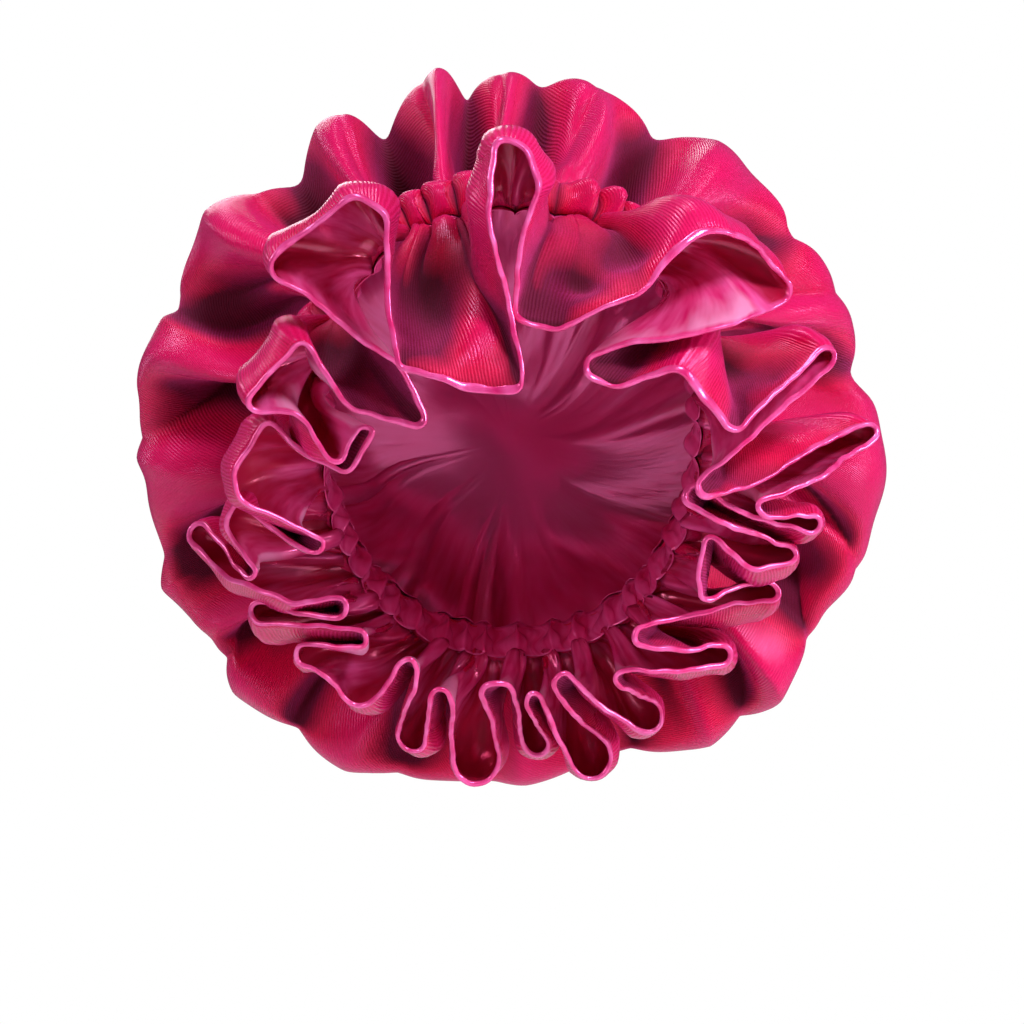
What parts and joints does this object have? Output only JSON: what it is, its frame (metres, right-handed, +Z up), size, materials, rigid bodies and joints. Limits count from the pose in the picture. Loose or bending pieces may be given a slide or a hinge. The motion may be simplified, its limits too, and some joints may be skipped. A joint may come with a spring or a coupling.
{
  "type": "ruffled hair bonnet",
  "caption": "Full velvet hair bonnet with a satin lining, a ruched elastic band and a wide folded ruffle round the face, in its worn shape",
  "frame": {"origin": "the centre of the band's loop, where the head passes through, on the head_seat mount", "axes": "+Z up, the face opening toward -Y, +X toward the viewer's right as seen from the front"},
  "size_m": [0.3103, 0.2811, 0.294],
  "materials": {
    "crown_velvet": "ribbed velvet",
    "crown_satin": "satin",
    "casing_velvet": "ribbed velvet",
    "ruffle_velvet": "ribbed velvet",
    "ruffle_satin": "satin"
  },
  "bodies": {
    "root": {"crown_shell": "crown_velvet", "crown_lining": "crown_satin", "band_casing": "casing_velvet", "ruffle_velvet": "ruffle_velvet", "ruffle_lining": "ruffle_satin"}
  },
  "joints": []
}
